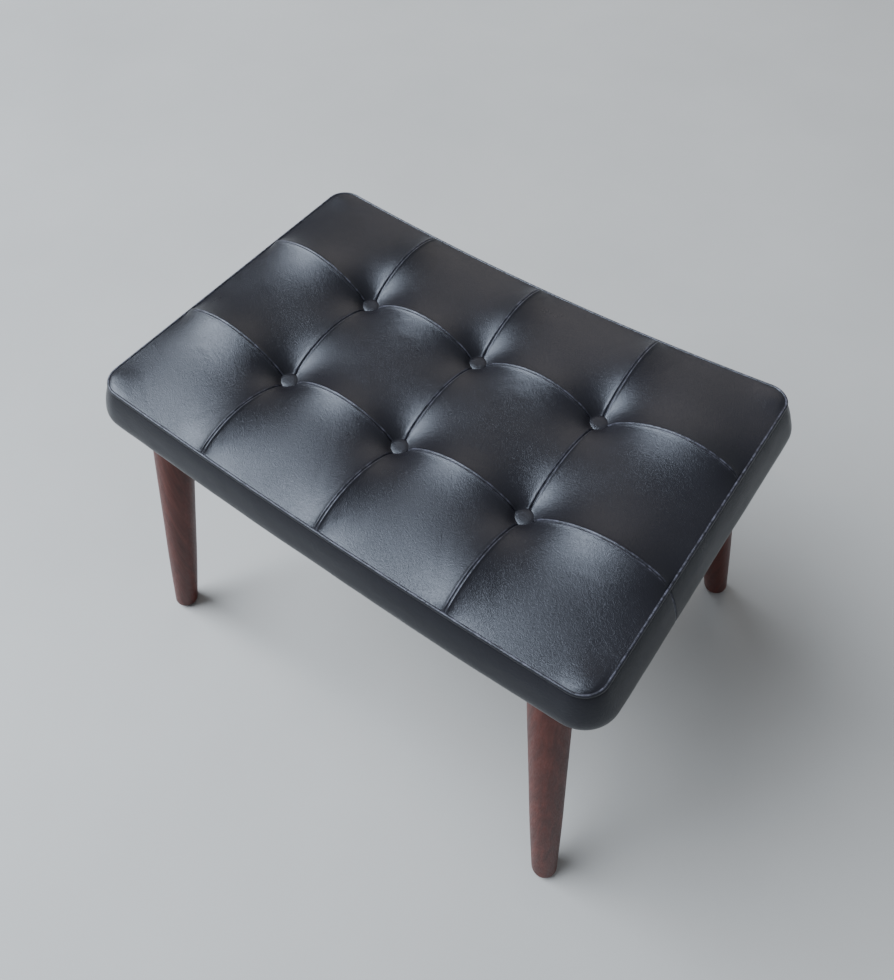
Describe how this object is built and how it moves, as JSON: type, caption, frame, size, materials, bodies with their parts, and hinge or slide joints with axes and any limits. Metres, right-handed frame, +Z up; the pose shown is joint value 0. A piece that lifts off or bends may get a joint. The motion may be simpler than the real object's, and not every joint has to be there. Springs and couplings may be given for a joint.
{
  "type": "footstool",
  "caption": "Upholstered footstool with a cradle-curved, button-tufted black leatherette seat on splayed, tapered, turned dark wood legs.",
  "frame": {"origin": "middle of the stool on the floor, under the centre of the seat", "axes": "+Z up; +X along the seat's long side; +Y across the seat"},
  "size_m": [0.5886, 0.4488, 0.4278],
  "materials": {
    "black_leatherette": "coated cloth with a fine leather grain, satin",
    "dark_leg_wood": "dark reddish-brown hardwood, straight grain, oiled satin",
    "seat_foam": "open-cell foam, matte",
    "cotton_wadding": "felted wadding, matte",
    "lining_cloth": "thin black non-woven cloth, matte",
    "waxed_twine": "waxed twine, satin",
    "fibre_washer": "vulcanised fibre, matte",
    "zinc_plated_steel": "bright zinc plate",
    "birch_plywood": "bent plywood, sanded, unfinished",
    "beech": "planed, unfinished"
  },
  "bodies": {
    "root": {"back_rail": "beech", "block_screws": "zinc_plated_steel", "border_band": "black_leatherette", "bottom_lining": "lining_cloth", "button_back_1": "zinc_plated_steel", "button_back_2": "zinc_plated_steel", "button_back_3": "zinc_plated_steel", "button_back_4": "zinc_plated_steel", "button_back_5": "zinc_plated_steel", "button_back_6": "zinc_plated_steel", "button_cap_1": "black_leatherette", "button_cap_2": "black_leatherette", "button_cap_3": "black_leatherette", "button_cap_4": "black_leatherette", "button_cap_5": "black_leatherette", "button_cap_6": "black_leatherette", "button_twine_1": "waxed_twine", "button_twine_2": "waxed_twine", "button_twine_3": "waxed_twine", "button_twine_4": "waxed_twine", "button_twine_5": "waxed_twine", "button_twine_6": "waxed_twine", "button_washer_1": "fibre_washer", "button_washer_2": "fibre_washer", "button_washer_3": "fibre_washer", "button_washer_4": "fibre_washer", "button_washer_5": "fibre_washer", "button_washer_6": "fibre_washer", "corner_block_back_left": "beech", "corner_block_back_right": "beech", "corner_block_front_left": "beech", "corner_block_front_right": "beech", "deck_board": "birch_plywood", "deck_nails": "zinc_plated_steel", "edge_padding": "cotton_wadding", "foam_pad": "seat_foam", "frame_dowels": "beech", "front_rail": "beech", "left_end_rail": "beech", "leg_back_left": "dark_leg_wood", "leg_back_right": "dark_leg_wood", "leg_bolt_back_left": "zinc_plated_steel", "leg_bolt_back_right": "zinc_plated_steel", "leg_bolt_front_left": "zinc_plated_steel", "leg_bolt_front_right": "zinc_plated_steel", "leg_front_left": "dark_leg_wood", "leg_front_right": "dark_leg_wood", "leg_insert_back_left": "zinc_plated_steel", "leg_insert_back_right": "zinc_plated_steel", "leg_insert_front_left": "zinc_plated_steel", "leg_insert_front_right": "zinc_plated_steel", "lining_staples": "zinc_plated_steel", "right_end_rail": "beech", "seam_welt": "black_leatherette", "top_cover": "black_leatherette"}
  },
  "joints": []
}
